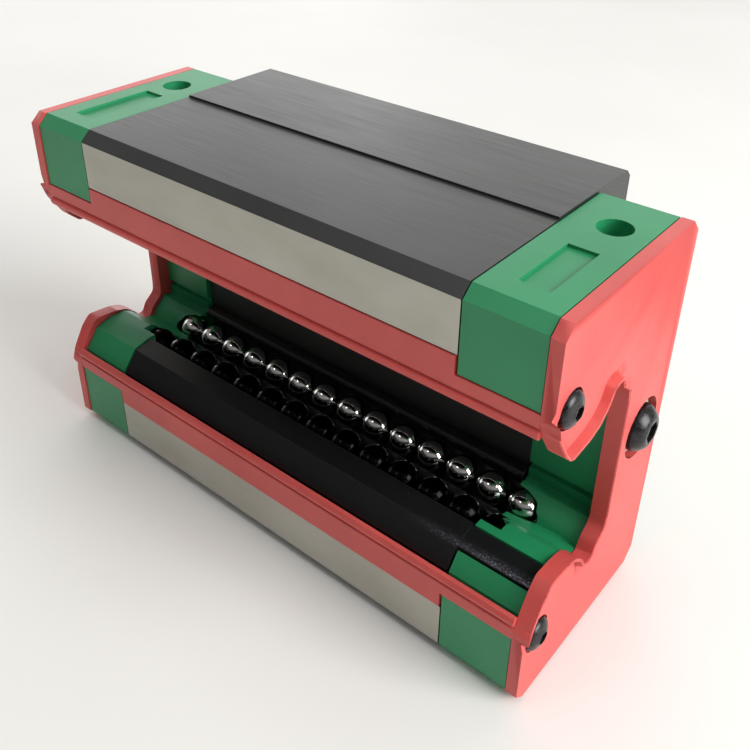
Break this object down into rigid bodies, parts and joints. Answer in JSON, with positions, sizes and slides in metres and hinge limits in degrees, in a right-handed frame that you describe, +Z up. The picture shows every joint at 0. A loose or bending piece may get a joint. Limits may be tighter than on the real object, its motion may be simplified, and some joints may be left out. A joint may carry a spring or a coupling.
{
  "type": "linear guide carriage",
  "caption": "Square linear guide carriage with a steel block, moulded end caps, wiper plates and recirculating balls, lying on its side.",
  "frame": {"origin": "centre of the bounding box at its base, the plane the carriage lies on", "axes": "+X along the rail travel, +Y out of the mounting face, +Z up, across the width of the carriage"},
  "size_m": [0.1124, 0.0478, 0.07],
  "materials": {
    "block_steel": "black oxidised satin, ground bright on the leg faces",
    "end_cap_plastic": "green moulded, satin",
    "seal_rubber": "red moulded, satin",
    "retainer_plastic": "black moulded, semi-gloss",
    "ball_steel": "polished",
    "fastener_steel": "black oxidised, glossy",
    "washer_plastic": "pale grey, matte"
  },
  "bodies": {
    "carriage": {"block_body": "block_steel", "right_end_cap": "end_cap_plastic", "left_end_cap": "end_cap_plastic", "right_end_seal": "seal_rubber", "left_end_seal": "seal_rubber", "lower_bottom_seal": "seal_rubber", "upper_bottom_seal": "seal_rubber", "lower_leg_retainer": "retainer_plastic", "upper_leg_retainer": "retainer_plastic", "lower_centre_retainer": "retainer_plastic", "upper_centre_retainer": "retainer_plastic", "lower_web_retainer": "retainer_plastic", "upper_web_retainer": "retainer_plastic", "right_port_plug": "fastener_steel", "left_port_plug": "fastener_steel", "right_port_washer": "washer_plastic", "left_port_washer": "washer_plastic", "right_lower_seal_screw": "fastener_steel", "left_upper_seal_screw": "fastener_steel", "right_upper_seal_screw": "fastener_steel", "left_lower_seal_screw": "fastener_steel", "lower_web_left_turn_guide": "end_cap_plastic", "lower_web_right_turn_guide": "end_cap_plastic", "upper_web_left_turn_guide": "end_cap_plastic", "upper_web_right_turn_guide": "end_cap_plastic", "lower_tip_left_turn_guide": "end_cap_plastic", "lower_tip_right_turn_guide": "end_cap_plastic", "upper_tip_left_turn_guide": "end_cap_plastic", "upper_tip_right_turn_guide": "end_cap_plastic"},
    "lower_web_load_balls": {"lower_web_load_row": "ball_steel"},
    "lower_web_return_balls": {"lower_web_return_row": "ball_steel"},
    "lower_web_left_turn": {"lower_web_left_turn_balls": "ball_steel"},
    "lower_web_right_turn": {"lower_web_right_turn_balls": "ball_steel"},
    "upper_web_load_balls": {"upper_web_load_row": "ball_steel"},
    "upper_web_return_balls": {"upper_web_return_row": "ball_steel"},
    "upper_web_left_turn": {"upper_web_left_turn_balls": "ball_steel"},
    "upper_web_right_turn": {"upper_web_right_turn_balls": "ball_steel"},
    "lower_tip_load_balls": {"lower_tip_load_row": "ball_steel"},
    "lower_tip_return_balls": {"lower_tip_return_row": "ball_steel"},
    "lower_tip_left_turn": {"lower_tip_left_turn_balls": "ball_steel"},
    "lower_tip_right_turn": {"lower_tip_right_turn_balls": "ball_steel"},
    "upper_tip_load_balls": {"upper_tip_load_row": "ball_steel"},
    "upper_tip_return_balls": {"upper_tip_return_row": "ball_steel"},
    "upper_tip_left_turn": {"upper_tip_left_turn_balls": "ball_steel"},
    "upper_tip_right_turn": {"upper_tip_right_turn_balls": "ball_steel"}
  },
  "joints": [
    {"name": "lower_web_load_slide", "type": "slide", "parent": "carriage", "child": "lower_web_load_balls", "axis": [1, 0, 0], "range_m": [-0.0032, 0.0032]},
    {"name": "lower_web_return_slide", "type": "slide", "parent": "carriage", "child": "lower_web_return_balls", "axis": [1, 0, 0], "range_m": [-0.0032, 0.0032]},
    {"name": "lower_web_left_turn_hinge", "type": "hinge", "parent": "carriage", "child": "lower_web_left_turn", "pos_m": [-0.04, -0.00088, 0.01185], "axis": [0, 0.9764, 0.216], "range_deg": [-32, 32]},
    {"name": "lower_web_right_turn_hinge", "type": "hinge", "parent": "carriage", "child": "lower_web_right_turn", "pos_m": [0.04, -0.00088, 0.01185], "axis": [0, 0.9764, 0.216], "range_deg": [-32, 32]},
    {"name": "upper_web_load_slide", "type": "slide", "parent": "carriage", "child": "upper_web_load_balls", "axis": [1, 0, 0], "range_m": [-0.0032, 0.0032]},
    {"name": "upper_web_return_slide", "type": "slide", "parent": "carriage", "child": "upper_web_return_balls", "axis": [1, 0, 0], "range_m": [-0.0032, 0.0032]},
    {"name": "upper_web_left_turn_hinge", "type": "hinge", "parent": "carriage", "child": "upper_web_left_turn", "pos_m": [-0.04, -0.00088, 0.05815], "axis": [0, -0.9764, 0.216], "range_deg": [-32, 32]},
    {"name": "upper_web_right_turn_hinge", "type": "hinge", "parent": "carriage", "child": "upper_web_right_turn", "pos_m": [0.04, -0.00088, 0.05815], "axis": [0, -0.9764, 0.216], "range_deg": [-32, 32]},
    {"name": "lower_tip_load_slide", "type": "slide", "parent": "carriage", "child": "lower_tip_load_balls", "axis": [1, 0, 0], "range_m": [-0.0032, 0.0032]},
    {"name": "lower_tip_return_slide", "type": "slide", "parent": "carriage", "child": "lower_tip_return_balls", "axis": [1, 0, 0], "range_m": [-0.0032, 0.0032]},
    {"name": "lower_tip_left_turn_hinge", "type": "hinge", "parent": "carriage", "child": "lower_tip_left_turn", "pos_m": [-0.04, -0.01222, 0.0129], "axis": [0, 0.985, -0.1728], "range_deg": [-32, 32]},
    {"name": "lower_tip_right_turn_hinge", "type": "hinge", "parent": "carriage", "child": "lower_tip_right_turn", "pos_m": [0.04, -0.01222, 0.0129], "axis": [0, 0.985, -0.1728], "range_deg": [-32, 32]},
    {"name": "upper_tip_load_slide", "type": "slide", "parent": "carriage", "child": "upper_tip_load_balls", "axis": [1, 0, 0], "range_m": [-0.0032, 0.0032]},
    {"name": "upper_tip_return_slide", "type": "slide", "parent": "carriage", "child": "upper_tip_return_balls", "axis": [1, 0, 0], "range_m": [-0.0032, 0.0032]},
    {"name": "upper_tip_left_turn_hinge", "type": "hinge", "parent": "carriage", "child": "upper_tip_left_turn", "pos_m": [-0.04, -0.01222, 0.0571], "axis": [0, -0.985, -0.1728], "range_deg": [-32, 32]},
    {"name": "upper_tip_right_turn_hinge", "type": "hinge", "parent": "carriage", "child": "upper_tip_right_turn", "pos_m": [0.04, -0.01222, 0.0571], "axis": [0, -0.985, -0.1728], "range_deg": [-32, 32]}
  ],
  "couplings": [
    {"joint": "lower_web_return_slide", "follows": "lower_web_load_slide", "ratio": -1},
    {"joint": "lower_web_left_turn_hinge", "follows": "lower_web_load_slide", "rad_per_m": 172.83},
    {"joint": "lower_web_right_turn_hinge", "follows": "lower_web_load_slide", "rad_per_m": 172.83},
    {"joint": "upper_web_return_slide", "follows": "upper_web_load_slide", "ratio": -1},
    {"joint": "upper_web_left_turn_hinge", "follows": "upper_web_load_slide", "rad_per_m": 172.83},
    {"joint": "upper_web_right_turn_hinge", "follows": "upper_web_load_slide", "rad_per_m": 172.83},
    {"joint": "lower_tip_return_slide", "follows": "lower_tip_load_slide", "ratio": -1},
    {"joint": "lower_tip_left_turn_hinge", "follows": "lower_tip_load_slide", "rad_per_m": 172.83},
    {"joint": "lower_tip_right_turn_hinge", "follows": "lower_tip_load_slide", "rad_per_m": 172.83},
    {"joint": "upper_tip_return_slide", "follows": "upper_tip_load_slide", "ratio": -1},
    {"joint": "upper_tip_left_turn_hinge", "follows": "upper_tip_load_slide", "rad_per_m": 172.83},
    {"joint": "upper_tip_right_turn_hinge", "follows": "upper_tip_load_slide", "rad_per_m": 172.83}
  ]
}
